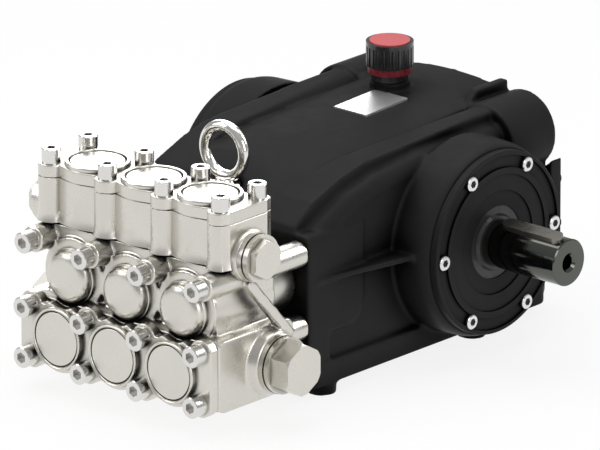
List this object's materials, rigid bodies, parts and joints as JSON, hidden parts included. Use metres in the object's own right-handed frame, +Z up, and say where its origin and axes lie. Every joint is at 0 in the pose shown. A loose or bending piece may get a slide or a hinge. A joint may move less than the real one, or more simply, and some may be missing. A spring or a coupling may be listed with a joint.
{
  "type": "high-pressure plunger pump",
  "caption": "High-pressure plunger pump with a black crankcase, keyed drive shaft, bright steel valve head, side plugs, lifting eye and oil filler cap.",
  "frame": {"origin": "centre of the four foot holes, on the underside of the feet", "axes": "+X to the free end of the drive shaft, +Y from the valve head back to the crankcase's rear, +Z up"},
  "size_m": [0.4145, 0.512, 0.26],
  "materials": {
    "black_casting": "satin black paint on a fine cast surface",
    "black_screws": "black oxide",
    "zinc_screws": "bright zinc plate",
    "seal_rubber": "matt",
    "black_plastic": "glossy moulded",
    "red_plastic": "glossy moulded",
    "dark_red_plastic": "glossy moulded",
    "chrome": "bright",
    "plate_aluminium": "smooth, blank",
    "head_steel": "satin nickel-like steel",
    "screw_steel": "bright stainless steel",
    "shaft_steel": "ground and oiled",
    "key_steel": "ground"
  },
  "bodies": {
    "pump": {"crankcase": "black_casting", "rear_cover": "black_casting", "rear_cover_screws": "black_screws", "bearing_cover_right": "black_casting", "bearing_cover_left": "black_casting", "cover_screws_right": "zinc_screws", "cover_screws_left": "zinc_screws", "shaft_seal": "seal_rubber", "oil_filler_neck": "black_plastic", "oil_cap": "black_plastic", "oil_cap_insert": "red_plastic", "oil_cap_ring": "dark_red_plastic", "lifting_eye": "chrome", "type_plate": "plate_aluminium", "lower_block": "head_steel", "front_plate": "head_steel", "upper_block": "head_steel", "top_plate": "head_steel", "suction_cap_1": "head_steel", "suction_cap_2": "head_steel", "suction_cap_3": "head_steel", "plunger_cap_1": "head_steel", "plunger_cap_2": "head_steel", "plunger_cap_3": "head_steel", "valve_cap_1": "head_steel", "valve_cap_2": "head_steel", "valve_cap_3": "head_steel", "top_screws": "screw_steel", "middle_screws": "screw_steel", "front_screws_upper": "screw_steel", "front_screws_lower": "screw_steel", "discharge_plug_right": "head_steel", "discharge_plug_left": "head_steel", "suction_plug_right": "head_steel", "suction_plug_left": "head_steel"},
    "shaft": {"drive_shaft": "shaft_steel", "shaft_key": "key_steel"}
  },
  "joints": [
    {"name": "crankshaft_spin", "type": "hinge", "parent": "pump", "child": "shaft", "pos_m": [0.16, 0.076, 0.112], "axis": [1, 0, 0], "continuous": true}
  ]
}
